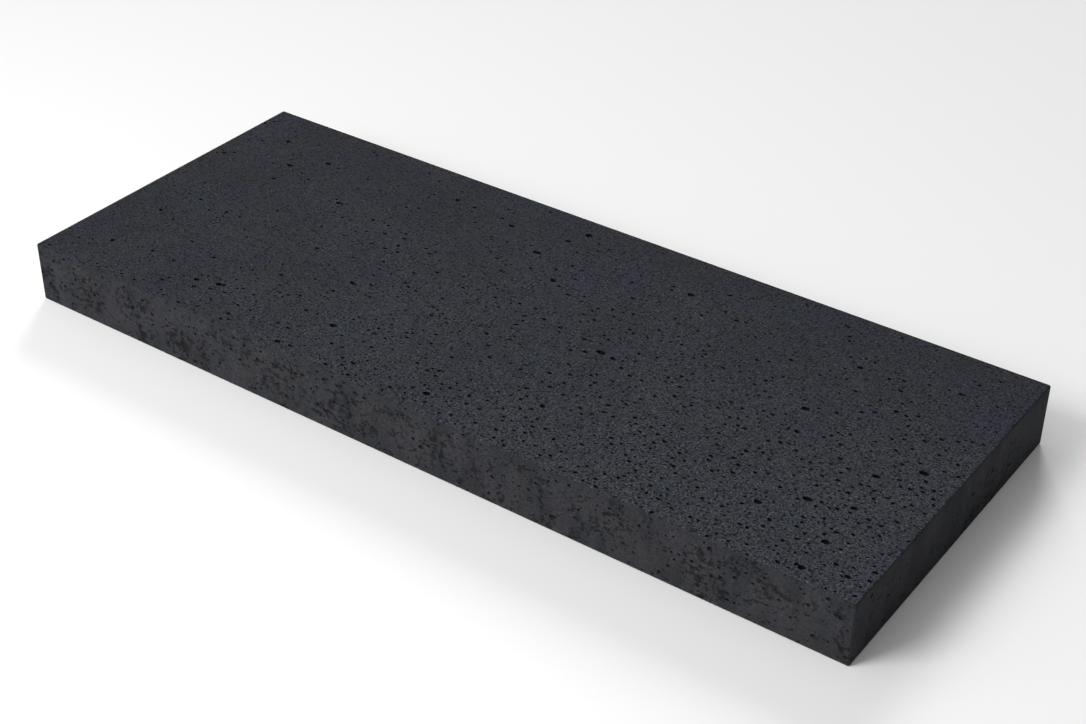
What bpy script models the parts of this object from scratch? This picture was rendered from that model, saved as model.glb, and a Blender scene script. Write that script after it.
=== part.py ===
"""Basalt slab: one block of vesicular basalt, sawn square, with rubbed arrises and open gas pores.

It is a single stone with nothing fixed to it and nothing that moves, so the model is one object.
Units are metres and +Z is up. X runs along the slab, Y from its front face to its back face, and
the origin is the middle of the underside. Vesicles, the holes that gas left in the lava, are cut
where they are wide enough to feel with a fingertip. Finer ones belong to the surface.
"""

import math
import random
from dataclasses import dataclass

import bmesh
import bpy
from mathutils import Matrix, Vector

# The slab
LENGTH = 1.000
WIDTH = 0.400
THICKNESS = 0.070
ARRIS = 0.0020  # radius that the edges are rubbed to
ARRIS_SEGMENTS = 2

# The vesicles
MOUTH_MIN = 0.0044  # across the narrowest one that is cut
MOUTH_MAX = 0.0064  # across the widest one that the pattern makes
SMALL_BIAS = 1.6  # over 1, and narrow ones are commoner than wide ones
STRETCH_MAX = 1.70  # length over width, as the flow drew them out
LEAN_MAX = 0.5  # furthest that a mouth turns from the flow, in radians
DEPTH_SHARE = (0.80, 1.20)  # depth below the middle of the bubble, over half its width
SINK_SHARE = 0.22  # how far that middle lies under the sawn face, over the same
WEB = 0.003  # least stone left between two mouths, and between a mouth and an arris
TWIN_CHANCE = 0.25  # share of vesicles that ran into a smaller neighbour
TWIN_SIZE = 0.72  # that neighbour's size
TWIN_REACH = 0.80  # distance between the two, over the sum of their half widths
REST_RADIUS = 0.022  # plain stone kept at the middle of each face, where something can bear
CELL_SHARE = (0.08, 0.92)  # the part of its cell that a vesicle may lie in
TOP_PITCH = 0.090  # mean distance between vesicles
BASE_PITCH = 0.125
LONG_EDGE_PITCH = 0.080
END_PITCH = 0.110
SIDES = 8
RINGS = 4
SEED = 17

# The widest vesicles of the top face: place over LENGTH and WIDTH from its middle, then size
WIDE_VESICLES = (
    (0.115, -0.030, 0.0130, 0.0078),
    (-0.050, 0.270, 0.0124, 0.0074),
    (0.464, -0.005, 0.0124, 0.0076),
    (0.397, -0.245, 0.0122, 0.0076),
    (-0.398, 0.246, 0.0122, 0.0066),
    (0.327, 0.059, 0.0116, 0.0066),
    (-0.132, -0.332, 0.0110, 0.0072),
    (0.363, -0.320, 0.0110, 0.0070),
    (0.130, 0.332, 0.0106, 0.0074),
    (-0.025, 0.428, 0.0106, 0.0078),
    (0.431, -0.080, 0.0106, 0.0070),
    (0.439, -0.355, 0.0098, 0.0076),
    (-0.365, 0.320, 0.0098, 0.0068),
    (0.020, -0.428, 0.0096, 0.0074),
    (0.439, -0.461, 0.0090, 0.0076),
    (-0.281, -0.358, 0.0090, 0.0074),
    (0.131, -0.036, 0.0090, 0.0056),
    (-0.440, 0.355, 0.0082, 0.0064),
    (-0.294, 0.160, 0.0080, 0.0066),
    (-0.307, -0.375, 0.0078, 0.0064),
)

STONE_COLOUR = (0.036, 0.037, 0.044, 1.0)
STONE_ROUGHNESS = 0.85


@dataclass
class Face:
    """A sawn face: its middle, the frame that lies in it, its size and how far apart vesicles are."""

    middle: Vector
    along: Vector
    across: Vector
    length: float
    width: float
    pitch: float

    def frame(self):
        """The matrix from the face's own plane, with Z out of the stone, to the slab."""
        turn = Matrix((self.along, self.across, self.along.cross(self.across))).transposed()
        return Matrix.Translation(self.middle) @ turn.to_4x4()


@dataclass
class Vesicle:
    """A gas pore, open at a face: its place in the face, its half sizes, its depth and its turn."""

    u: float
    v: float
    half_length: float
    half_width: float
    depth: float
    turn: float

    def reach(self):
        """The furthest that the mouth goes from its middle."""
        return max(self.half_length, self.half_width)

    def clears(self, other):
        """Whether a web of stone is left between two vesicles."""
        gap = math.hypot(self.u - other.u, self.v - other.v)
        return gap > self.reach() + other.reach() + WEB

    def within(self, face):
        """Whether the mouth stays clear of the face's arrises."""
        edge = self.reach() + ARRIS + WEB
        return abs(self.u) < face.length / 2 - edge and abs(self.v) < face.width / 2 - edge


def clear_scene():
    """Removes everything that the scene starts with."""
    for item in list(bpy.data.objects):
        bpy.data.objects.remove(item, do_unlink=True)


def collection(name):
    """A new collection in the scene."""
    made = bpy.data.collections.new(name)
    bpy.context.scene.collection.children.link(made)
    return made


def stone():
    """Dark grey basalt with a dry, matt, sawn surface."""
    material = bpy.data.materials.new("vesicular_basalt")
    material.use_nodes = True
    shader = material.node_tree.nodes["Principled BSDF"]
    shader.inputs["Base Color"].default_value = STONE_COLOUR
    shader.inputs["Roughness"].default_value = STONE_ROUGHNESS
    shader.inputs["Metallic"].default_value = 0.0
    return material


def sawn_block(parts):
    """The block as it leaves the saw, with its edges rubbed down."""
    bpy.ops.mesh.primitive_cube_add(size=1.0, location=(0.0, 0.0, THICKNESS / 2))
    block = bpy.context.active_object
    block.name = "basalt_slab"
    block.scale = (LENGTH, WIDTH, THICKNESS)
    bpy.ops.object.transform_apply(location=True, rotation=False, scale=True)
    for owner in list(block.users_collection):
        owner.objects.unlink(block)
    parts.objects.link(block)
    edges = block.modifiers.new("rubbed_arris", "BEVEL")
    edges.width = ARRIS
    edges.segments = ARRIS_SEGMENTS
    edges.limit_method = "ANGLE"
    block.data.materials.append(stone())
    return block


def faces():
    """The six sawn faces. The top is the most open, and the underside and the ends the closest."""
    x, y, z = Vector((1, 0, 0)), Vector((0, 1, 0)), Vector((0, 0, 1))
    half = Vector((LENGTH / 2, WIDTH / 2, THICKNESS / 2))
    centre = z * half.z
    return {
        "top": Face(z * THICKNESS, x, y, LENGTH, WIDTH, TOP_PITCH),
        "base": Face(Vector(), x, -y, LENGTH, WIDTH, BASE_PITCH),
        "front": Face(centre - y * half.y, x, z, LENGTH, THICKNESS, LONG_EDGE_PITCH),
        "back": Face(centre + y * half.y, -x, z, LENGTH, THICKNESS, LONG_EDGE_PITCH),
        "right": Face(centre + x * half.x, y, z, WIDTH, THICKNESS, END_PITCH),
        "left": Face(centre - x * half.x, -y, z, WIDTH, THICKNESS, END_PITCH),
    }


def one_vesicle(u, v, length, width, rng, turn=0.0):
    """A vesicle of a given mouth, with a depth of its own."""
    return Vesicle(u, v, length / 2, width / 2, rng.uniform(*DEPTH_SHARE) * width / 2, turn)


def wide_vesicles(face, rng):
    """The few widest ones, which lie at known places of a face."""
    return [
        one_vesicle(u * face.length, v * face.width, length, width, rng)
        for u, v, length, width in WIDE_VESICLES
    ]


def scattered_vesicles(face, taken, rng):
    """One vesicle in each cell of a grid, off its middle by chance, wherever it has room."""
    columns = max(1, round(face.length / face.pitch))
    rows = max(1, round(face.width / face.pitch))
    step = Vector((face.length / columns, face.width / rows))
    found = list(taken)
    for column in range(columns):
        for row in range(rows):
            width = MOUTH_MIN + (MOUTH_MAX - MOUTH_MIN) * rng.random() ** SMALL_BIAS
            length = width * rng.uniform(1.0, STRETCH_MAX)
            u = (column + rng.uniform(*CELL_SHARE)) * step.x - face.length / 2
            v = (row + rng.uniform(*CELL_SHARE)) * step.y - face.width / 2
            new = one_vesicle(u, v, length, width, rng, rng.uniform(-LEAN_MAX, LEAN_MAX))
            bears = math.hypot(u, v) < REST_RADIUS + new.reach()
            if not bears and new.within(face) and all(new.clears(old) for old in found):
                found.append(new)
    return found


def twins(face, vesicles, rng):
    """Smaller bubbles that ran into some of the vesicles, and share their mouths."""
    found = []
    for old in vesicles:
        chance, side, lean = rng.random(), rng.choice((-1, 1)), rng.uniform(-LEAN_MAX, LEAN_MAX)
        if chance > TWIN_CHANCE:
            continue
        size = old.half_width * TWIN_SIZE
        step = TWIN_REACH * (old.half_length + size) * side
        new = Vesicle(
            old.u + step * math.cos(lean),
            old.v + step * math.sin(lean),
            size,
            size,
            old.depth * TWIN_SIZE,
            0.0,
        )
        others = [near for near in vesicles if near is not old] + found
        if new.within(face) and all(new.clears(near) for near in others):
            found.append(new)
    return found


def cutter(name, cuts, tools):
    """One object that holds the bubbles of a list of (face, vesicle) pairs, none of them touching."""
    mesh = bpy.data.meshes.new(name)
    shape = bmesh.new()
    for face, vesicle in cuts:
        sink = SINK_SHARE * vesicle.half_width
        place = Matrix.Translation((vesicle.u, vesicle.v, -sink))
        size = Matrix.Diagonal((vesicle.half_length, vesicle.half_width, vesicle.depth, 1.0))
        bmesh.ops.create_uvsphere(
            shape,
            u_segments=SIDES,
            v_segments=RINGS,
            radius=1.0,
            matrix=face.frame() @ place @ Matrix.Rotation(vesicle.turn, 4, "Z") @ size,
        )
    shape.to_mesh(mesh)
    shape.free()
    tool = bpy.data.objects.new(name, mesh)
    tool.hide_render = True
    tool.display_type = "WIRE"
    tools.objects.link(tool)
    return tool


def cut(block, tool):
    """Opens a cutter's bubbles in the block."""
    pores = block.modifiers.new(tool.name, "BOOLEAN")
    pores.operation = "DIFFERENCE"
    pores.object = tool


def main():
    """Builds the slab and opens its vesicles, face by face."""
    clear_scene()
    parts = collection("basalt_slab_parts")
    tools = collection("cutters")
    block = sawn_block(parts)
    rng = random.Random(SEED)
    first, second = [], []
    for name, face in faces().items():
        known = wide_vesicles(face, rng) if name == "top" else []
        vesicles = scattered_vesicles(face, known, rng)
        first += [(face, vesicle) for vesicle in vesicles]
        second += [(face, vesicle) for vesicle in twins(face, vesicles, rng)]
    cut(block, cutter("vesicles", first, tools))
    cut(block, cutter("twin_vesicles", second, tools))


main()
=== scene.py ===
"""Dresses the basalt slab: its open-pored stone, and the pale studio that it lies in.

The slab keeps the size of the design's block. Its wide vesicles lie where the design cuts them, and
the pores that are too fine for the design are opened here. Everything is in metres, +Z up.
"""

from __future__ import annotations

import logging
import math
import random
from collections import defaultdict
from dataclasses import dataclass, field
from enum import Enum
from itertools import product
from typing import Any, Iterable

import bpy
import numpy as np
from bpy.types import Material, Node, NodeSocket, NodeTree, Object
from mathutils import Euler, Matrix, Vector, noise


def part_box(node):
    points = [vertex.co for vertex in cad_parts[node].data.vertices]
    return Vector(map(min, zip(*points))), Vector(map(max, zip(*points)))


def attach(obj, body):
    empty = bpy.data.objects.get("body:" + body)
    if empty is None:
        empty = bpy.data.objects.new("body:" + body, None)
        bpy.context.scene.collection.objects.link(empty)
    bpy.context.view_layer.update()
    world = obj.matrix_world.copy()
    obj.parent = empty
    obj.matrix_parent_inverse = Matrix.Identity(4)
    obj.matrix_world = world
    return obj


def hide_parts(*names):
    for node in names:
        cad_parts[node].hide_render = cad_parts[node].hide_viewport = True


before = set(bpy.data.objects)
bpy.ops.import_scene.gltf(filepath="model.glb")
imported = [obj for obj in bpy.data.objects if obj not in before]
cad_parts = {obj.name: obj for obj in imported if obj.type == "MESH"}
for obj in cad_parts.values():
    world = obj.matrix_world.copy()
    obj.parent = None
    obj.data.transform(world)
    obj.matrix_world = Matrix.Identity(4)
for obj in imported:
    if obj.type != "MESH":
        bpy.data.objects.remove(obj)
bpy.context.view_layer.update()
NODE = "basalt_slab"
MM = 0.001

SMOOTH = {"interpolation_type": "SMOOTHSTEP"}  # for a range whose ends are soft
Source = NodeSocket | Node  # what can feed a socket

log = logging.getLogger("basalt_slab")


class Side(Enum):
    """The six sides of the slab, in the order in which the design pits them."""

    TOP = "top"
    BASE = "base"
    FRONT = "front"
    BACK = "back"
    RIGHT = "right"
    LEFT = "left"


class Finish(Enum):
    """The looks of the stone, by their place in the piece's list of materials."""

    OPEN_FACE = 0
    CUT_EDGE = 1
    CUT_END = 2
    # Pore walls: a painted highlight at the rim, darker with depth partly as painted shade
    OPEN_LINING = 3
    DUSTY_LINING = 4


class Form(Enum):
    """The shapes that a pore can have, each by the narrowest mouth that it is used for."""

    PIT = 0.0
    CUP = 2.0 * MM
    BUBBLE = 3.2 * MM
    VESICLE = 4.9 * MM

    @classmethod
    def of_mouth(cls, mouth: float) -> Form:
        """Returns the shape of a pore with a given mouth."""
        return max((form for form in cls if form.value <= mouth), key=lambda form: form.value)


@dataclass
class Face:
    """A flat face of the slab, with its own plane and how open its stone is.

    Attributes:
        side: Which side of the slab it is.
        middle: Its middle.
        along, across: The directions of its length and its width.
        length, width: Its size.
        pitch: The design's spacing of wide vesicles.
        pores: How many fine pores lie in a square metre of the most open stone.
    """

    side: Side
    middle: Vector
    along: Vector
    across: Vector
    length: float
    width: float
    pitch: float
    pores: float

    def frame(self) -> Matrix:
        """Returns the matrix from the face's plane, with Z out of the stone, to the slab."""
        turn = Matrix((self.along, self.across, self.along.cross(self.across))).transposed()
        return Matrix.Translation(self.middle) @ turn.to_4x4()


@dataclass
class Pore:
    """A gas pore, open at a face: its place, half sizes and depth, and its turn in the face."""

    u: float
    v: float
    half_length: float
    half_width: float
    depth: float
    turn: float

    def reach(self) -> float:
        """Returns the furthest that the mouth goes from its middle."""
        return max(self.half_length, self.half_width)

    def clears(self, other: Pore, web: float) -> bool:
        """Returns whether a web of stone, at least so wide, is left between two pores."""
        gap = math.hypot(self.u - other.u, self.v - other.v)
        return gap > self.reach() + other.reach() + web

    def within(self, face: Face, margin: float) -> bool:
        """Returns whether a margin of stone is left between the mouth and a face's outline."""
        edge = self.reach() + margin
        return abs(self.u) < face.length / 2 - edge and abs(self.v) < face.width / 2 - edge


@dataclass
class WideVesicles:
    """The vesicles over about 4.4 mm, by the design's own rule, so that both have the same mouths.

    Attributes:
        mouth_min, mouth_max: The narrowest and the widest mouth that the pattern makes.
        small_bias: Over 1, and narrow mouths are commoner than wide ones.
        stretch_max: The most that a mouth's length is, over its width.
        lean_max: How far a mouth turns from the flow.
        depth_share: The range of the depth, over half the width.
        web: The least stone between two mouths, and between a mouth and an arris.
        arris: The radius that the slab's edges are rubbed to.
        twin_chance, twin_size: The share of vesicles that a smaller bubble ran into, and its size.
        twin_reach: The distance between the two, over the sum of their half widths.
        rest_radius: The plain stone at the middle of each face.
        cell_share: The part of its cell that a vesicle may lie in.
        seed, rng: What the chance starts from, and the chance, drawn from face after face.
        widest: The widest ones of the top, as u and v over its sides, then length and width.
    """

    mouth_min: float = 4.4 * MM
    mouth_max: float = 6.4 * MM
    small_bias: float = 1.6
    stretch_max: float = 1.70
    lean_max: float = 0.5
    depth_share: tuple[float, float] = (0.80, 1.20)
    web: float = 3.0 * MM
    arris: float = 2.0 * MM
    twin_chance: float = 0.25
    twin_size: float = 0.72
    twin_reach: float = 0.80
    rest_radius: float = 22 * MM
    cell_share: tuple[float, float] = (0.08, 0.92)
    seed: int = 17
    widest: tuple[tuple[float, float, float, float], ...] = (
        (0.115, -0.030, 0.0130, 0.0078),
        (-0.050, 0.270, 0.0124, 0.0074),
        (0.464, -0.005, 0.0124, 0.0076),
        (0.397, -0.245, 0.0122, 0.0076),
        (-0.398, 0.246, 0.0122, 0.0066),
        (0.327, 0.059, 0.0116, 0.0066),
        (-0.132, -0.332, 0.0110, 0.0072),
        (0.363, -0.320, 0.0110, 0.0070),
        (0.130, 0.332, 0.0106, 0.0074),
        (-0.025, 0.428, 0.0106, 0.0078),
        (0.431, -0.080, 0.0106, 0.0070),
        (0.439, -0.355, 0.0098, 0.0076),
        (-0.365, 0.320, 0.0098, 0.0068),
        (0.020, -0.428, 0.0096, 0.0074),
        (0.439, -0.461, 0.0090, 0.0076),
        (-0.281, -0.358, 0.0090, 0.0074),
        (0.131, -0.036, 0.0090, 0.0056),
        (-0.440, 0.355, 0.0082, 0.0064),
        (-0.294, 0.160, 0.0080, 0.0066),
        (-0.307, -0.375, 0.0078, 0.0064),
    )
    rng: random.Random = field(init=False)

    def __post_init__(self) -> None:
        """Starts the chance that the whole pattern is drawn from."""
        self.rng = random.Random(self.seed)

    def one(self, u: float, v: float, length: float, width: float, turn: float = 0.0) -> Pore:
        """Returns a vesicle of a given place, mouth and turn, with a depth of its own."""
        depth = self.rng.uniform(*self.depth_share) * width / 2
        return Pore(u, v, length / 2, width / 2, depth, turn)

    def of_face(self, face: Face) -> list[Pore]:
        """Draws the vesicles of a face, the widest ones of the top first.

        Args:
            face: The face.

        Returns:
            The vesicles, clear of each other.
        """
        rows = self.widest if face.side is Side.TOP else ()
        found = [self.one(u * face.length, v * face.width, *size) for u, v, *size in rows]
        columns = max(1, round(face.length / face.pitch))
        lines = max(1, round(face.width / face.pitch))
        step = Vector((face.length / columns, face.width / lines))
        for column in range(columns):
            for line in range(lines):
                chance = self.rng.random() ** self.small_bias
                width = self.mouth_min + (self.mouth_max - self.mouth_min) * chance
                length = width * self.rng.uniform(1.0, self.stretch_max)
                u = (column + self.rng.uniform(*self.cell_share)) * step.x - face.length / 2
                v = (line + self.rng.uniform(*self.cell_share)) * step.y - face.width / 2
                turn = self.rng.uniform(-self.lean_max, self.lean_max)
                new = self.one(u, v, length, width, turn)
                bears = math.hypot(u, v) < self.rest_radius + new.reach()
                apart = all(new.clears(old, self.web) for old in found)
                if not bears and new.within(face, self.arris + self.web) and apart:
                    found.append(new)
        return found

    def twins(self, face: Face, pores: list[Pore]) -> list[Pore]:
        """Draws the smaller bubbles that ran into some of the vesicles and share their mouths.

        Args:
            face: The face.
            pores: Its vesicles.

        Returns:
            The smaller bubbles, clear of each other.
        """
        found: list[Pore] = []
        for old in pores:
            chance = self.rng.random()
            side = self.rng.choice((-1, 1))
            lean = self.rng.uniform(-self.lean_max, self.lean_max)
            if chance > self.twin_chance:
                continue
            size = old.half_width * self.twin_size
            step = self.twin_reach * (old.half_length + size) * side
            place = (old.u + step * math.cos(lean), old.v + step * math.sin(lean))
            new = Pore(*place, size, size, old.depth * self.twin_size, 0.0)
            others = [near for near in pores if near is not old] + found
            apart = all(new.clears(near, self.web) for near in others)
            if new.within(face, self.arris + self.web) and apart:
                found.append(new)
        return found


@dataclass
class FinePores:
    """The pores of 1.4 to 4.8 mm, many small ones and few large ones, thicker in some drifts.

    Attributes:
        mouth_min, mouth_max: The narrowest and the widest mouth.
        fall: The number of pores falls to a third with each step of this width, in close stone
            and in open stone.
        web: The least stone between two mouths.
        margin: The least stone between a mouth and the face's outline.
        drift, patch: The size of the drifts of pores, and of the patches in them over that.
        swing: How much the two change the openness.
        stretch: The range of a mouth's length over its width.
        depth_share: The range of a pore's depth, over half its width.
        lean_max: How far a mouth turns from the flow.
        cell: The size of the cells that near pores are looked up in.
        seed: What the chance starts from.
    """

    mouth_min: float = 1.4 * MM
    mouth_max: float = 4.8 * MM
    fall: tuple[float, float] = (0.55 * MM, 2.00 * MM)
    web: float = 0.25 * MM
    margin: float = 0.5 * MM
    drift: float = 90 * MM
    patch: float = 0.3
    swing: float = 0.22
    stretch: tuple[float, float] = (1.0, 1.7)
    depth_share: tuple[float, float] = (1.0, 1.6)
    lean_max: float = 0.5
    cell: float = 14 * MM
    seed: int = 41

    def openness(self, face: Face, u: float, v: float) -> float:
        """Tells how open the stone is at a place, from 0 to 1.

        Args:
            face: The face.
            u: The place along it.
            v: The place across it.

        Returns:
            The openness. The top's grows towards its front right corner.
        """
        place = face.frame() @ Vector((u, v, 0.0))
        patch = noise.noise(place / (self.drift * self.patch))
        drift = noise.noise(place / self.drift) + 0.6 * patch
        # From 0 to 1 along the face, and across it to its front or lower edge
        along, across = 0.5 + u / face.length, 0.5 - v / face.width
        base = {
            Side.TOP: 0.18 + 1.15 * along * max(0.0, across) ** 0.8,
            Side.BASE: 0.45,
            Side.FRONT: 0.72 - 0.30 * across,
            Side.BACK: 0.72 - 0.30 * across,
            Side.RIGHT: 0.20,
            Side.LEFT: 0.20,
        }
        return min(1.0, max(0.05, base[face.side] + self.swing * drift))

    def of_face(self, face: Face, wide: Iterable[Pore]) -> list[Pore]:
        """Draws the fine pores of a face.

        Args:
            face: The face.
            wide: The mouths that are already there.

        Returns:
            The fine pores, clear of each other and of the wide ones.
        """
        rng = random.Random(f"{self.seed} {face.side.value}")
        near: dict[tuple[int, int], list[Pore]] = defaultdict(list)
        for old in wide:
            near[self.key(old.u, old.v)].append(old)
        found: list[Pore] = []
        for _ in range(round(face.pores * face.length * face.width)):
            u = rng.uniform(-0.5, 0.5) * face.length
            v = rng.uniform(-0.5, 0.5) * face.width
            open_share = self.openness(face, u, v)
            fall = self.fall[0] + (self.fall[1] - self.fall[0]) * open_share
            width = min(self.mouth_max, self.mouth_min + rng.expovariate(1.0 / fall))
            length = width * rng.uniform(*self.stretch)
            depth = rng.uniform(*self.depth_share) * width / 2
            turn = rng.uniform(-self.lean_max, self.lean_max)
            if rng.random() > open_share:
                continue
            new = Pore(u, v, length / 2, width / 2, depth, turn)
            key = self.key(u, v)
            cells = [(key[0] + i, key[1] + j) for i in (-1, 0, 1) for j in (-1, 0, 1)]
            apart = all(new.clears(old, self.web) for cell in cells for old in near[cell])
            if apart and new.within(face, self.margin):
                near[key].append(new)
                found.append(new)
        return found

    def key(self, u: float, v: float) -> tuple[int, int]:
        """Returns the cell of the search grid that a place is in."""
        return math.floor(u / self.cell), math.floor(v / self.cell)


@dataclass
class Hollow:
    """The uneven form of a pore, modelled once and copied into every pore of its kind.

    Attributes:
        form: The kind of pore.
        seed: What its unevenness starts from.
        unevenness: How far its wall wanders, over its radius.
        sides: How many sides a pit or a cup has.
        rim: How far a pit's or a cup's wall runs on above the face, over its depth.
        floor: The radius of a cup's floor over that of its mouth.
    """

    form: Form
    seed: int
    unevenness: float = 0.15
    sides: int = 6
    rim: float = 0.10
    floor: float = 0.55

    def model(self) -> tuple[np.ndarray, np.ndarray]:
        """Models the pore, with its mouth at Z = 0, no further than about 1 from its middle.

        Returns:
            Its points and its triangles.
        """
        bpy.ops.object.select_all(action="DESELECT")
        turned = self.form in (Form.PIT, Form.CUP)
        if turned:
            bpy.ops.mesh.primitive_cone_add(
                vertices=self.sides,
                radius1=self.floor if self.form is Form.CUP else 0.0,
                radius2=1.0,
                depth=1.0 + self.rim,
                location=(0.0, 0.0, (self.rim - 1.0) / 2),
            )
            bpy.ops.object.transform_apply(location=True, rotation=False, scale=False)
        else:
            detail = 1 if self.form is Form.BUBBLE else 2
            bpy.ops.mesh.primitive_ico_sphere_add(subdivisions=detail, radius=1.0)
        body = bpy.context.active_object
        bpy.ops.object.mode_set(mode="EDIT")
        bpy.ops.mesh.select_all(action="SELECT")
        bpy.ops.mesh.quads_convert_to_tris()
        bpy.ops.transform.vertex_random(offset=self.unevenness, normal=0.6, seed=self.seed)
        bpy.ops.object.mode_set(mode="OBJECT")
        points = np.array([vertex.co[:] for vertex in body.data.vertices])
        triangles = np.array([polygon.vertices[:] for polygon in body.data.polygons])
        mesh = body.data
        bpy.data.objects.remove(body)
        bpy.data.meshes.remove(mesh)
        if turned:
            above_middle = points[:, 2] > -0.5
            points[above_middle, 2] = self.rim
            across = np.linalg.norm(points[:, :2], axis=1).max()
            return points / (across, across, 1.0), triangles
        return points / np.linalg.norm(points, axis=1).max(), triangles


@dataclass
class Cut:
    """A hollow to open in the block: its points and triangles, its place and its look."""

    shape: tuple[np.ndarray, np.ndarray]
    place: Matrix
    finish: Finish


@dataclass
class WornArris:
    """The small nicks along the slab's edges, where crystals broke out as they were rubbed.

    Attributes:
        pitch: The mean distance between two nicks.
        length: The range of a nick's half length.
        bite: The range of its half width, from the line where the two faces would meet.
        corner: The range of the half size of the wear at the eight corners.
        seed: What the chance starts from.
    """

    pitch: float = 17 * MM
    length: tuple[float, float] = (1.2 * MM, 5.0 * MM)
    bite: tuple[float, float] = (1.0 * MM, 1.9 * MM)
    corner: tuple[float, float] = (2.2 * MM, 3.4 * MM)
    seed: int = 23

    def places(self, low: Vector, high: Vector) -> list[Matrix]:
        """Places the nicks along the twelve edges.

        Args:
            low: The block's lowest corner.
            high: The block's highest corner.

        Returns:
            The matrices that lay a ball of radius 1 in each nick's place.
        """
        rng = random.Random(self.seed)
        middle, half = (low + high) / 2, (high - low) / 2
        found = []
        for axis in range(3):
            others = [other for other in range(3) if other != axis]
            for signs in ((-1, -1), (-1, 1), (1, -1), (1, 1)):
                corner = middle.copy()
                for other, sign in zip(others, signs):
                    corner[other] += sign * half[other]
                clear = self.length[1] + 1.5 * self.corner[1]
                at = clear - half[axis] + rng.uniform(0.0, self.pitch)
                while at < half[axis] - clear:
                    size = Vector([rng.uniform(*self.bite) for _ in range(3)])
                    size[axis] = rng.uniform(*self.length)
                    corner[axis] = middle[axis] + at
                    found.append(Matrix.Translation(corner) @ Matrix.Diagonal((*size, 1.0)))
                    at += 2 * self.length[1] + rng.expovariate(1.0 / self.pitch)
        for signs in product((-1, 1), repeat=3):
            corner = middle + Vector([sign * part for sign, part in zip(signs, half)])
            size = [rng.uniform(*self.corner) for _ in range(3)]
            found.append(Matrix.Translation(corner) @ Matrix.Diagonal((*size, 1.0)))
        return found


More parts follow.
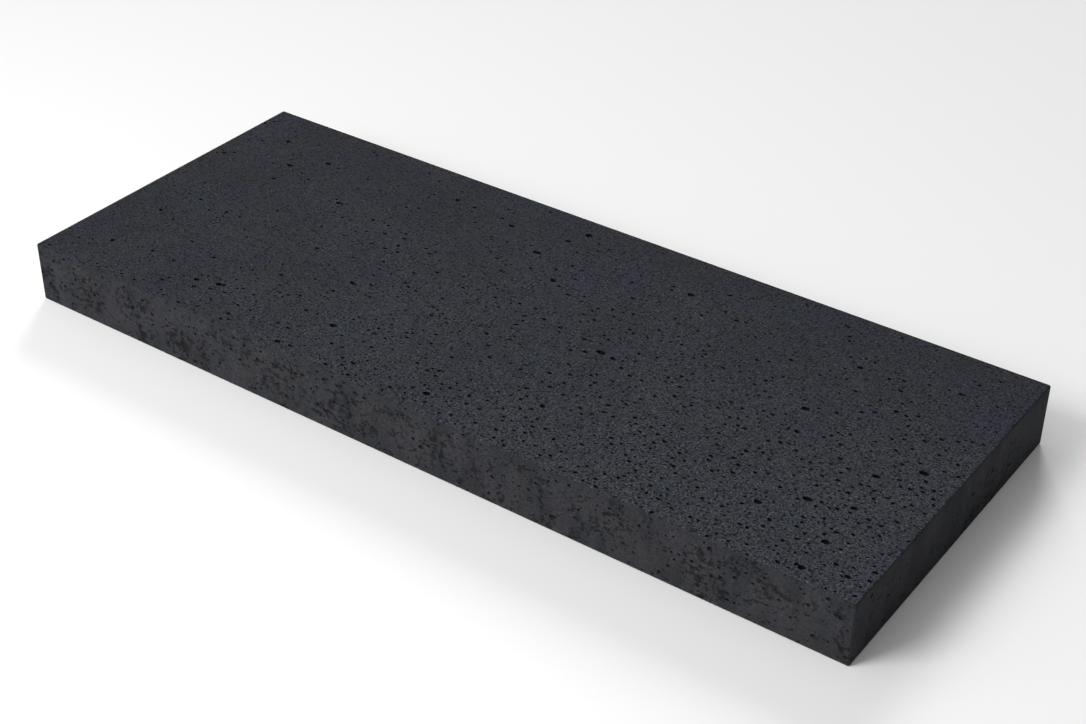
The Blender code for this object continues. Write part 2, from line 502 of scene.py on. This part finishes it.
@dataclass
class BasaltSlab:
    """The stone: a square block with rubbed arrises, pitted on every side.

    Attributes:
        low, high: The block's lowest and highest corners.
        arris, arris_segments: The radius that its edges are rubbed to, and the flats in each.
        sink: How far a bubble's middle lies under its face, over its half width.
        kinds: How many different pores of each form are modelled.
        grid: The size of the cells that the block's faces start with.
        smooth_angle, flat_angle: The sharpest bend that looks round, and the most that looks flat.
        seed: What the chance that tumbles the pores starts from.
        wide, fine, worn: The patterns of wide vesicles, fine pores and nicks.
    """

    low: Vector
    high: Vector
    arris: float = 2.0 * MM
    arris_segments: int = 4
    sink: float = 0.22
    kinds: int = 7
    grid: float = 50 * MM
    smooth_angle: float = math.radians(50)
    flat_angle: float = math.radians(1)
    seed: int = 5
    wide: WideVesicles = field(default_factory=WideVesicles)
    fine: FinePores = field(default_factory=FinePores)
    worn: WornArris = field(default_factory=WornArris)

    def faces(self) -> list[Face]:
        """Lays out the six faces.

        Returns:
            The faces. The top is the most open, and the ends are the closest.
        """
        x, y, z = Vector((1, 0, 0)), Vector((0, 1, 0)), Vector((0, 0, 1))
        length, width, thick = self.high - self.low
        middle = (self.low + self.high) / 2
        dx, dy, dz = x * length / 2, y * width / 2, z * thick / 2
        return [
            Face(Side.TOP, middle + dz, x, y, length, width, pitch=0.090, pores=26000),
            Face(Side.BASE, middle - dz, x, -y, length, width, pitch=0.125, pores=5000),
            Face(Side.FRONT, middle - dy, x, z, length, thick, pitch=0.080, pores=20000),
            Face(Side.BACK, middle + dy, -x, z, length, thick, pitch=0.080, pores=20000),
            Face(Side.RIGHT, middle + dx, y, z, width, thick, pitch=0.110, pores=6000),
            Face(Side.LEFT, middle - dx, -y, z, width, thick, pitch=0.110, pores=6000),
        ]

    def block(self) -> Object:
        """Models the unpitted block, with its arrises rubbed round.

        Returns:
            The block.
        """
        bpy.ops.object.select_all(action="DESELECT")
        middle = (self.low + self.high) / 2
        bpy.ops.mesh.primitive_cube_add(size=1.0, location=middle, scale=self.high - self.low)
        block = bpy.context.active_object
        block.name = "basalt_stone"
        bpy.ops.object.transform_apply(location=True, rotation=False, scale=True)
        bpy.ops.object.mode_set(mode="EDIT")
        bpy.ops.mesh.select_all(action="SELECT")
        bpy.ops.mesh.bevel(offset=self.arris, segments=self.arris_segments, affect="EDGES")
        for axis in range(2):
            way = [float(i == axis) for i in range(3)]
            steps = round((self.high - self.low)[axis] / self.grid)
            for step in range(1, steps):
                place = self.low.lerp(self.high, step / steps)
                bpy.ops.mesh.select_all(action="SELECT")
                bpy.ops.mesh.bisect(plane_co=place, plane_no=way)
        bpy.ops.object.mode_set(mode="OBJECT")
        return block

    def hollows(self) -> dict[Form, list[tuple[np.ndarray, np.ndarray]]]:
        """Returns a few modelled pores of each form."""
        return {form: [Hollow(form, seed).model() for seed in range(self.kinds)] for form in Form}

    def seat(self, face: Face, pore: Pore, form: Form, rng: random.Random) -> Matrix:
        """Works out where a hollow lies in the block.

        Args:
            face: The pore's face.
            pore: The pore.
            form: Its form.
            rng: The chance that tumbles it.

        Returns:
            The matrix from the hollow's own space to the slab.
        """
        turned = form in (Form.PIT, Form.CUP)
        tilt = (0.0, 0.0) if turned else (rng.uniform(0, math.tau), rng.uniform(0, math.tau))
        tumble = Euler((*tilt, rng.uniform(0, math.tau))).to_matrix().to_4x4()
        sink = 0.0 if turned else -self.sink * pore.half_width
        size = Matrix.Diagonal((pore.half_length, pore.half_width, pore.depth, 1.0))
        turn = Matrix.Rotation(pore.turn, 4, "Z")
        return face.frame() @ Matrix.Translation((pore.u, pore.v, sink)) @ turn @ size @ tumble

    def cut(self, block: Object, cuts: list[Cut]) -> None:
        """Opens hollows in the block, with all of them in one cutter.

        Args:
            block: The block.
            cuts: The hollows. No two of them touch.
        """
        points, triangles, looks, count = [], [], [], 0
        for one in cuts:
            shape, skin = one.shape
            turn, shift = np.array(one.place.to_3x3()), np.array(one.place.translation)
            points.append(shape @ turn.T + shift)
            triangles.append(skin + count)
            looks += [one.finish.value] * len(skin)
            count += len(shape)
        mesh = bpy.data.meshes.new("hollows")
        mesh.from_pydata(np.vstack(points).tolist(), [], np.vstack(triangles).tolist())
        for material in block.data.materials:
            mesh.materials.append(material)
        mesh.polygons.foreach_set("material_index", looks)
        cutter = bpy.data.objects.new("hollows", mesh)
        bpy.context.scene.collection.objects.link(cutter)
        bpy.context.view_layer.objects.active = block
        opening = block.modifiers.new("pores", "BOOLEAN")
        opening.operation = "DIFFERENCE"
        opening.solver = "MANIFOLD"
        opening.object = cutter
        bpy.ops.object.modifier_apply(modifier=opening.name)
        bpy.data.objects.remove(cutter)
        bpy.data.meshes.remove(mesh)

    def mark(self, block: Object) -> None:
        """Gives each face its finish, and each point its depth in millimetres and openness.

        Args:
            block: The pitted block.
        """
        mesh = block.data
        level = math.cos(self.flat_angle)
        by_axis = (Finish.CUT_END, Finish.CUT_EDGE, Finish.OPEN_FACE)
        for polygon in mesh.polygons:
            if polygon.material_index < Finish.OPEN_LINING.value:
                ways = [abs(part) for part in polygon.normal]
                polygon.material_index = by_axis[ways.index(max(ways))].value
                polygon.use_smooth = max(ways) < level
        points = np.empty(len(mesh.vertices) * 3)
        mesh.vertices.foreach_get("co", points)
        points = points.reshape(-1, 3)
        gaps = np.hstack([points - np.array(self.low), np.array(self.high) - points])
        depth = mesh.attributes.new("depth_mm", "FLOAT", "POINT")
        depth.data.foreach_set("value", (gaps.min(axis=1) / MM).astype(np.float32))
        by_side = {face.side: face for face in self.faces()}
        # The sides in the order of the columns of gaps
        order = [Side.LEFT, Side.FRONT, Side.BASE, Side.RIGHT, Side.BACK, Side.TOP]
        flat = {side: by_side[side].frame().inverted() for side in order}
        openness = np.zeros(len(points), np.float32)
        for i, nearest in enumerate(gaps.argmin(axis=1)):
            side = order[nearest]
            u, v, _ = flat[side] @ Vector(points[i])
            openness[i] = self.fine.openness(by_side[side], u, v)
        mesh.attributes.new("openness", "FLOAT", "POINT").data.foreach_set("value", openness)

    def build(self, finishes: list[Material]) -> Object:
        """Builds and dresses the stone.

        Args:
            finishes: Its materials, in the order of Finish.

        Returns:
            The stone.
        """
        block = self.block()
        for finish in finishes:
            block.data.materials.append(finish)
        hollows, rng = self.hollows(), random.Random(self.seed)
        passes: dict[str, list[Cut]] = defaultdict(list)
        for face in self.faces():
            wide = self.wide.of_face(face)
            twins = self.wide.twins(face, wide)
            fine = self.fine.of_face(face, wide + twins)
            log.info("%s: %d wide vesicles, %d fine pores", face.side.value, len(wide), len(fine))
            level = face.side in (Side.TOP, Side.BASE)
            lining_and_shade = Finish.OPEN_LINING if level else Finish.DUSTY_LINING
            # Opposite faces are cut in one pass, as their pores are far apart
            pair = "XYZ"[[abs(round(part)) for part in face.along.cross(face.across)].index(1)]
            for name, pores in ((pair, wide + fine), ("twins", twins)):
                for pore in pores:
                    form = Form.of_mouth(2 * pore.half_width)
                    place = self.seat(face, pore, form, rng)
                    passes[name].append(Cut(rng.choice(hollows[form]), place, lining_and_shade))
        for place in self.worn.places(self.low, self.high):
            shape = rng.choice(hollows[Form.BUBBLE])
            passes["nicks"].append(Cut(shape, place, Finish.OPEN_FACE))
        for cuts in passes.values():
            self.cut(block, cuts)
        bpy.ops.object.select_all(action="DESELECT")
        block.select_set(True)
        bpy.context.view_layer.objects.active = block
        bpy.ops.object.shade_smooth_by_angle(angle=self.smooth_angle)
        self.mark(block)
        return block


def linear(code: str) -> tuple[float, float, float, float]:
    """Turns an sRGB hex colour to linear.

    Args:
        code: The colour, such as "#3a3b40".

    Returns:
        Its red, green and blue, and an alpha of 1.
    """
    parts = [int(code[i : i + 2], 16) / 255 for i in (1, 3, 5)]
    turned = [c / 12.92 if c <= 0.04045 else ((c + 0.055) / 1.055) ** 2.4 for c in parts]
    return (*turned, 1.0)


def per_metre(size: float) -> float:
    """Returns the texture scale whose features are a size in millimetres apart."""
    return 1.0 / (size * MM)


def add(
    tree: NodeTree,
    kind: str,
    settings: dict[str | int, Any] | None = None,
    links: dict[str | int, Source] | None = None,
) -> Node:
    """Adds a node with its settings and links.

    Args:
        tree: The node tree.
        kind: The node's class, without its ShaderNode.
        settings: The values of its sockets, by name or number, and of its properties.
        links: What feeds its sockets, by name or number: a socket, or a node's first output.

    Returns:
        The node.
    """
    node = tree.nodes.new("ShaderNode" + kind)
    for name, value in (settings or {}).items():
        if isinstance(name, int) or name in node.inputs:
            node.inputs[name].default_value = value
        else:
            setattr(node, name, value)
    for name, source in (links or {}).items():
        socket = source.outputs[0] if isinstance(source, Node) else source
        tree.links.new(socket, node.inputs[name])
    return node


def calc(tree: NodeTree, operation: str, *terms: float | Source) -> Node:
    """Adds a Math node.

    Args:
        tree: The node tree.
        operation: What it does.
        *terms: Its two or three terms, each a number or what feeds it.

    Returns:
        The node.
    """
    numbers = {i: term for i, term in enumerate(terms) if isinstance(term, float)}
    sources = {i: term for i, term in enumerate(terms) if i not in numbers}
    return add(tree, "Math", {"operation": operation, **numbers}, sources)


def cloud(tree: NodeTree, place: Source, size: float, detail: float, roughness: float) -> Node:
    """Adds a noise whose features are a size in millimetres apart."""
    settings = {"Scale": per_metre(size), "Detail": detail, "Roughness": roughness}
    return add(tree, "TexNoise", settings, {"Vector": place})


@dataclass(frozen=True)
class VesicularBasalt:
    """Basalt lava with gas pores, sawn and left unpolished.

    It is nearly black minerals in a dark grey, slightly blue ground, so it looks dry, matt and
    finely speckled, with soft drifts of bluer and greyer stone. Its index is that of its feldspar
    and pyroxene, about 1.55, and its sawn face scatters nearly all that it reflects.

    Attributes:
        top: The height of the slab's top.
        violet, teal, grey, ash: The drifts of the open faces.
        slate, brown, olive: The clouds of the cut sides.
        lip, lining, dust: A pore's rim, pale as a painted highlight, and the colours deep in its
            glassy wall and in its wall under saw dust, darker there partly as painted shade.
        flow: The scales of a pattern that the flow drew out.
        side_tone: How pale the cut sides are, over the stone's own colour.
        drift_mm, cloud_mm, swarm_mm, band_mm, run_mm, stain_mm: The sizes of the large patterns.
        grain_mm, side_grain_mm, crust_mm: The grain of the open faces, the sides and the pores.
        pit_mm, crystal_mm: The distances between pits too fine to open, and between pale crystals.
        blots: Size in millimetres, darkness and stretch of the coarse and the fine blots.
    """

    top: float
    violet: str = "#2a2b35"
    teal: str = "#292e35"
    grey: str = "#2b2c31"
    ash: str = "#2b2e32"
    slate: str = "#303237"
    brown: str = "#323135"
    olive: str = "#323130"
    # A painted highlight on each pore's rim; pore walls darker deep down, partly as painted shade
    lip_highlight: str = "#434449"
    lining_and_shade: str = "#07070b"
    dust_and_shade: str = "#26262a"
    ior: float = 1.55
    specular: float = 0.12
    roughness: float = 0.90
    flow: tuple[float, float, float] = (0.8, 1.0, 1.0)
    side_tone: float = 0.97
    drift_mm: float = 75.0
    cloud_mm: float = 52.0
    swarm_mm: float = 24.0
    band_mm: float = 34.0
    run_mm: float = 13.0
    stain_mm: float = 26.0
    grain_mm: float = 1.5
    side_grain_mm: float = 1.7
    crust_mm: float = 1.2
    pit_mm: float = 4.2
    crystal_mm: float = 3.6
    blots: tuple[tuple[float, float, tuple[float, float, float]], ...] = (
        (6.4, 0.50, (1.0, 1.0, 0.7)),
        (3.6, 0.62, (0.55, 0.55, 1.0)),
    )

    def start(self, name: str) -> tuple[Material, NodeTree, Node, NodeSocket]:
        """Starts a material of this stone.

        Args:
            name: The material's name.

        Returns:
            The material, its node tree, its shader and the place that its patterns read.
        """
        material = bpy.data.materials.new(name)
        material.use_nodes = True
        tree = material.node_tree
        shader = tree.nodes["Principled BSDF"]
        shader.inputs["IOR"].default_value = self.ior
        shader.inputs["Specular IOR Level"].default_value = self.specular
        shader.inputs["Roughness"].default_value = self.roughness
        place = add(tree, "TexCoord").outputs["Object"]
        return material, tree, shader, place

    def blend(
        self,
        tree: NodeTree,
        amount: Source,
        low: str | NodeSocket,
        high: str,
        span: tuple[float, float],
        most: float = 1.0,
    ) -> NodeSocket:
        """Mixes one colour of stone into another where a pattern is high.

        Args:
            tree: The node tree.
            amount: The pattern, a node or a socket.
            low: The first colour, a hex value or a socket.
            high: The hex value of the second colour.
            span: Where in the pattern the second colour starts and where it is at its fullest.
            most: How full that is.

        Returns:
            The mixed colour.
        """
        limits = {"From Min": span[0], "From Max": span[1], "To Max": most}
        share = add(tree, "MapRange", {**SMOOTH, **limits}, {0: amount})
        settings: dict[str | int, Any] = {"data_type": "RGBA", 7: linear(high)}
        links: dict[str | int, Source] = {0: share}
        if isinstance(low, str):
            settings[6] = linear(low)
        else:
            links[6] = low
        return add(tree, "Mix", settings, links).outputs[2]

    def spots(
        self,
        tree: NodeTree,
        place: Source,
        spacing: float,
        share: Node,
        size: tuple[float, float],
        space: str = "2D",
    ) -> Node:
        """Scatters round spots, one in some of the cells of a pattern.

        Args:
            tree: The node tree.
            place: The place that the pattern reads.
            spacing: The mean distance between the cells' middles, in millimetres.
            share: The share of the cells that have a spot.
            size: The smallest and the largest spot's radius, over the spacing.
            space: "2D" for level faces only, and "3D" for any face.

        Returns:
            A node that is 1 in the spots and 0 between them.
        """
        drawn = add(tree, "Mapping", {"Scale": self.flow}, {"Vector": place})
        pattern = {"voronoi_dimensions": space, "Scale": per_metre(spacing)}
        cells = add(tree, "TexVoronoi", pattern, {"Vector": drawn})
        pick = add(tree, "SeparateColor", {}, {0: cells.outputs["Color"]})
        over = calc(tree, "SUBTRACT", pick, calc(tree, "SUBTRACT", 1.0, share))
        there = calc(tree, "GREATER_THAN", over, 0.0)
        radius = add(tree, "MapRange", {"To Min": size[0], "To Max": size[1]}, {0: pick.outputs[1]})
        inner = calc(tree, "MULTIPLY", radius, 0.65)
        edge = add(
            tree,
            "MapRange",
            {**SMOOTH, "To Min": 1.0, "To Max": 0.0},
            {0: cells.outputs["Distance"], "From Min": inner, "From Max": radius},
        )
        return calc(tree, "MULTIPLY", edge, there)

    def shade(
        self, tree: NodeTree, shader: Node, ground: NodeSocket, factors: list[Source]
    ) -> None:
        """Gives a surface its colour, a ground colour times some factors.

        Args:
            tree: The node tree.
            shader: The surface's shader.
            ground: The ground colour.
            factors: What it is multiplied by.
        """
        shade = factors[0]
        for factor in factors[1:]:
            shade = calc(tree, "MULTIPLY", shade, factor)
        colour = add(tree, "VectorMath", {"operation": "SCALE"}, {0: ground, "Scale": shade})
        tree.links.new(colour.outputs[0], shader.inputs["Base Color"])

    def open_face(self) -> Material:
        """Makes the sawn face, its pores open: speckled, finely pitted, drifting violet to teal.

        Returns:
            The material.
        """
        material, tree, shader, place = self.start("vesicular_basalt_open_face")
        openness = add(tree, "Attribute", {"attribute_name": "openness"}).outputs["Fac"]
        aside = add(tree, "Mapping", {"Location": (3.1, 1.7, 0.4)}, {"Vector": place})
        drawn = add(tree, "Mapping", {"Scale": self.flow}, {"Vector": place})
        drift = cloud(tree, place, self.drift_mm, 4.0, 0.62)
        other = cloud(tree, aside, self.drift_mm, 4.0, 0.62)
        swarm = cloud(tree, place, self.swarm_mm, 2.0, 0.60)
        grain = cloud(tree, drawn, self.grain_mm, 2.0, 0.60)

        # Drifts of stone where other minerals came out of the melt, and paler where it is open
        ground = self.blend(tree, drift, self.grey, self.violet, (0.42, 0.60))
        ground = self.blend(tree, other, ground, self.teal, (0.52, 0.66), 0.8)
        ground = self.blend(tree, openness, ground, self.ash, (0.35, 0.90), 0.55)
        paler = add(tree, "MapRange", {"To Min": 0.87, "To Max": 1.50}, {0: openness})

        # The crystal grain, light feldspar among dark pyroxene, drawn out along the flow
        limits = {"From Min": 0.36, "From Max": 0.64, "To Min": -0.22, "To Max": 0.22}
        swarm = add(tree, "MapRange", limits, {0: swarm})
        thick = calc(tree, "ADD", swarm, openness)
        strength = add(tree, "MapRange", {"To Min": 0.58, "To Max": 1.05}, {0: thick})
        swing = calc(tree, "MULTIPLY", calc(tree, "SUBTRACT", grain, 0.5), strength)
        speckle = calc(tree, "MULTIPLY_ADD", swing, 3.8, 1.0)

        # Pores too fine to open, in two sizes and in swarms, and pale crystals
        shares = [
            add(tree, "MapRange", {"To Min": least, "To Max": most}, {0: thick})
            for least, most in ((0.36, 0.52), (0.60, 0.84), (0.24, 0.60))
        ]
        wide = self.spots(tree, place, self.pit_mm, shares[0], (0.18, 0.36))
        fine = self.spots(tree, place, 0.6 * self.pit_mm, shares[1], (0.24, 0.42))
        pale = self.spots(tree, place, self.crystal_mm, shares[2], (0.12, 0.26))
        # The fine pores are painted dark: partly their own dark walls, partly painted shade
        hollow = calc(tree, "MAXIMUM", wide, calc(tree, "MULTIPLY", fine, 0.6))
        dark = calc(tree, "MULTIPLY_ADD", hollow, -0.72, 1.0)
        light = calc(tree, "MULTIPLY_ADD", pale, 1.1, 1.0)
        self.shade(tree, shader, ground, [speckle, dark, light, paler])

        # Relief in millimetres: the saw's roughness, less the fine pores
        relief = calc(tree, "MULTIPLY_ADD", hollow, -0.7, calc(tree, "MULTIPLY", swing, 1.1))
        bump = add(tree, "Bump", {"Strength": 1.0, "Distance": MM}, {"Height": relief})
        tree.links.new(bump.outputs[0], shader.inputs["Normal"])
        return material

    def cut_face(self, name: str) -> Material:
        """Makes a sawn side, smoother and closer: slate and brown clouds, runs and soft blots.

        Args:
            name: The material's name.

        Returns:
            The material.
        """
        material, tree, shader, place = self.start(name)
        openness = add(tree, "Attribute", {"attribute_name": "openness"}).outputs["Fac"]
        tall = add(tree, "Mapping", {"Scale": (1.0, 1.0, 0.6)}, {"Vector": place})
        aside = add(tree, "Mapping", {"Location": (1.3, 0.7, 2.1)}, {"Vector": tall})
        thin = add(tree, "Mapping", {"Scale": (1.0, 1.0, 0.25)}, {"Vector": place})
        clouds = cloud(tree, tall, self.cloud_mm, 4.0, 0.6)
        puffs = cloud(tree, aside, 0.6 * self.cloud_mm, 4.0, 0.6)
        swarm = cloud(tree, place, self.band_mm, 3.0, 0.6)
        runs = cloud(tree, thin, self.run_mm, 3.0, 0.6)
        stains = cloud(tree, tall, self.stain_mm, 3.0, 0.6)
        grain = cloud(tree, place, self.side_grain_mm, 3.0, 0.6)

        # Clouds of brown and olive stone in the slate, taller than they are wide
        ground = self.blend(tree, clouds, self.slate, self.brown, (0.38, 0.58))
        ground = self.blend(tree, puffs, ground, self.olive, (0.54, 0.68), 0.6)

        # A wavering band under the upper arris, rubbed smooth with it
        height = add(tree, "SeparateXYZ", {}, {0: place}).outputs["Z"]
        height = calc(tree, "MULTIPLY_ADD", swarm, 40 * MM, height)
        limits = {"From Min": self.top + 2 * MM, "From Max": self.top + 20 * MM}
        band = add(tree, "MapRange", {**SMOOTH, **limits}, {0: height})
        ground = self.blend(tree, band, ground, self.ash, (0.0, 1.0), 0.8)

        # Runs where water went down the saw cut, and pale and dark stains
        tone, factors = self.side_tone, []
        for pattern, low, high in ((runs, 0.88, 1.06), (stains, 0.84 * tone, 1.12 * tone)):
            limits = {"From Min": 0.34, "From Max": 0.62, "To Min": low, "To Max": high}
            factors.append(add(tree, "MapRange", limits, {0: pattern}))

        # Soft blots where a vesicle lies just under the face, in swarms, coarse and fine
        close = add(tree, "MapRange", {"To Min": 0.12, "To Max": -0.02}, {0: openness})
        close = calc(tree, "MULTIPLY_ADD", band, 0.10, close)
        limits = {"From Min": 0.36, "From Max": 0.62, "To Min": 0.62, "To Max": 0.47}
        least = add(tree, "MapRange", limits, {0: swarm})
        least = calc(tree, "ADD", least, close)
        most = calc(tree, "ADD", least, 0.08)
        for size, depth, stretch in self.blots:
            drawn = add(tree, "Mapping", {"Scale": stretch}, {"Vector": place})
            pattern = cloud(tree, drawn, size, 2.0, 0.5)
            blots = add(
                tree,
                "MapRange",
                {**SMOOTH, "To Min": 1.0, "To Max": 1.0 - depth},
                {0: pattern, "From Min": least, "From Max": most},
            )
            factors.append(blots)

        # The grain, and a few pale crystals
        speckle = add(tree, "MapRange", {"To Min": -0.3, "To Max": 2.3}, {0: grain})
        soft = add(tree, "MapRange", {"To Min": 0.40, "To Max": 1.0}, {0: openness})
        speckle = add(tree, "Mix", {"data_type": "FLOAT", 2: 1.0}, {0: soft, 3: speckle})
        share = add(tree, "MapRange", {"To Min": 0.0, "To Max": 0.5}, {0: openness})
        pale = self.spots(tree, place, self.crystal_mm, share, (0.14, 0.34), "3D")
        light = calc(tree, "MULTIPLY_ADD", pale, 0.7, 1.0)
        self.shade(tree, shader, ground, [*factors, speckle, light])

        # Relief: the fine blots are sunk, and the grain stands up
        relief = calc(tree, "ADD", blots, grain)
        bump = add(tree, "Bump", {"Strength": 1.0, "Distance": 0.4 * MM}, {"Height": relief})
        tree.links.new(bump.outputs[0], shader.inputs["Normal"])
        return material

    def lining_of(self, name: str, deep_shade: str, span: tuple[float, float]) -> Material:
        """Makes a pore's rough wall: painted highlight at the rim, darker down, partly painted
        shade.

        Args:
            name: The material's name.
            deep_shade: The hex value of its colour deep down, partly its own and partly painted
                shade.
            span: The depths, in millimetres, at which that starts and is at its fullest.

        Returns:
            The material.
        """
        material, tree, shader, place = self.start(name)
        depth = add(tree, "Attribute", {"attribute_name": "depth_mm"})
        # A painted highlight on the rim, then darker with depth, partly painted shade
        colour = self.blend(tree, depth.outputs["Fac"], self.lip_highlight, self.grey, (0.0, 0.25))
        colour = self.blend(tree, depth.outputs["Fac"], colour, deep_shade, span)
        tree.links.new(colour, shader.inputs["Base Color"])
        crust = cloud(tree, place, self.crust_mm, 2.0, 0.5)
        bump = add(tree, "Bump", {"Strength": 1.0, "Distance": 0.3 * MM}, {"Height": crust})
        tree.links.new(bump.outputs[0], shader.inputs["Normal"])
        return material

    def finishes(self) -> list[Material]:
        """Makes the stone's materials.

        Returns:
            The materials, in the order of Finish.
        """
        made = {
            Finish.OPEN_FACE: self.open_face(),
            Finish.CUT_EDGE: self.cut_face("vesicular_basalt_cut_edge"),
            Finish.CUT_END: self.cut_face("vesicular_basalt_cut_end"),
            # Pore walls, partly glassy or dusty and partly painted shade deep down
            Finish.OPEN_LINING: self.lining_of("vesicle_glass_and_shade", self.lining_and_shade, (0.15, 0.60)),
            Finish.DUSTY_LINING: self.lining_of("vesicle_saw_dust_and_shade", self.dust_and_shade, (0.3, 1.4)),
        }
        return [made[finish] for finish in Finish]


@dataclass(frozen=True)
class SoftBox:
    """A square lamp with an even glow: its name, its place, its side and its power in watts."""

    name: str
    place: tuple[float, float, float]
    side: float
    power: float


@dataclass
class Studio:
    """A pale floor under soft light, and the camera.

    Attributes:
        eye: The camera's place.
        azimuth: The way that it looks, from +Y towards -X, in degrees.
        elevation: How far it looks down, in degrees.
        lens: Its focal length, in millimetres.
        sensor: The width of its sensor, in millimetres.
        shift_x: How far its picture is shifted, over the picture's width.
        floor_radius, floor_corners, floor_colour: The round floor's size, corners and hex value.
        bright_side: The direction that most of the surround's light comes from.
        sky_least, sky_most: The surround's light from the far side and from the bright side.
        sky_seen: How bright the surround looks.
        soft_boxes: The lamps: one in front, and one far behind that rakes the grain.
    """

    eye: tuple[float, float, float] = (0.9866, -1.3414, 1.1282)
    azimuth: float = 36.333
    elevation: float = 33.983
    lens: float = 63.48
    sensor: float = 36.0
    shift_x: float = 0.0257
    floor_radius: float = 30.0
    floor_corners: int = 96
    floor_colour: str = "#f4f4f4"
    bright_side: tuple[float, float, float] = (-0.50, -0.70, 0.50)
    sky_least: float = 0.10
    sky_most: float = 1.00
    sky_seen: float = 1.0
    soft_boxes: tuple[SoftBox, ...] = (
        SoftBox("front_soft_box", (-0.9, -2.0, 1.9), 1.2, 52.0),
        SoftBox("raking_soft_box", (-10.4, 19.2, 12.0), 8.0, 3000.0),
    )

    def camera(self) -> None:
        """Places the camera and makes it the scene's."""
        data = bpy.data.cameras.new("camera")
        data.lens = self.lens
        data.sensor_width = self.sensor
        data.shift_x = self.shift_x
        turn = (math.radians(90.0 - self.elevation), 0.0, math.radians(self.azimuth))
        camera = bpy.data.objects.new("camera", data)
        camera.location = self.eye
        camera.rotation_euler = turn
        bpy.context.scene.collection.objects.link(camera)
        bpy.context.scene.camera = camera

    def floor(self, level: float) -> None:
        """Lays the floor.

        Args:
            level: Its height.
        """
        bpy.ops.object.select_all(action="DESELECT")
        bpy.ops.mesh.primitive_circle_add(
            vertices=self.floor_corners,
            radius=self.floor_radius,
            fill_type="NGON",
            location=(0.0, 0.0, level),
        )
        floor = bpy.context.active_object
        floor.name = "studio_floor"
        material = bpy.data.materials.new("studio_paper")
        material.use_nodes = True
        shader = material.node_tree.nodes["Principled BSDF"]
        shader.inputs["Base Color"].default_value = linear(self.floor_colour)
        shader.inputs["Roughness"].default_value = 0.9
        shader.inputs["Specular IOR Level"].default_value = 0.1
        floor.data.materials.append(material)

    def sky(self) -> None:
        """Makes the white surround, brighter on one side, and seen evenly white."""
        world = bpy.data.worlds.new("white_surround")
        world.use_nodes = True
        bpy.context.scene.world = world
        tree = world.node_tree
        shade = tree.nodes["Background"]
        shade.inputs["Color"].default_value = (1.0, 1.0, 1.0, 1.0)
        toward = add(tree, "TexCoord").outputs["Generated"]
        lean = add(
            tree,
            "VectorMath",
            {"operation": "DOT_PRODUCT", 1: Vector(self.bright_side).normalized()},
            {0: toward},
        )
        limits = {"To Min": self.sky_least, "To Max": self.sky_most}
        dome = add(tree, "MapRange", limits, {0: lean.outputs["Value"]})
        seen = add(tree, "LightPath").outputs["Is Camera Ray"]
        level = add(tree, "Mix", {"data_type": "FLOAT", 3: self.sky_seen}, {0: seen, 2: dome})
        tree.links.new(level.outputs[0], shade.inputs["Strength"])

    def hang(self, box: SoftBox, aim: Vector) -> None:
        """Hangs a soft box.

        Args:
            box: The soft box.
            aim: The point that it faces.
        """
        data = bpy.data.lights.new(box.name, "AREA")
        data.shape = "SQUARE"
        data.size = box.side
        data.energy = box.power
        lamp = bpy.data.objects.new(box.name, data)
        lamp.location = box.place
        lamp.rotation_euler = (aim - Vector(box.place)).to_track_quat("-Z", "Y").to_euler()
        bpy.context.scene.collection.objects.link(lamp)

    def build(self, level: float) -> None:
        """Sets up the whole studio, with the lamps aimed at the middle of the floor.

        Args:
            level: The height of the floor.
        """
        self.camera()
        self.floor(level)
        self.sky()
        for box in self.soft_boxes:
            self.hang(box, Vector((0.0, 0.0, level)))
        bpy.context.scene.view_settings.view_transform = "Standard"


def main() -> None:
    """Builds the studio and the stone, and says how large the result is."""
    logging.basicConfig(level=logging.INFO, format="%(name)s: %(message)s")
    low, high = (Vector(corner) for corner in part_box(NODE))
    Studio().build(low.z)
    finishes = VesicularBasalt(high.z).finishes()
    stone = BasaltSlab(low, high).build(finishes)
    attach(stone, "root")
    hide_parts(NODE)
    triangles = sum(len(polygon.vertices) - 2 for polygon in stone.data.polygons)
    log.info("%s: %d triangles", stone.name, triangles)


if __name__ == "__main__":
    main()
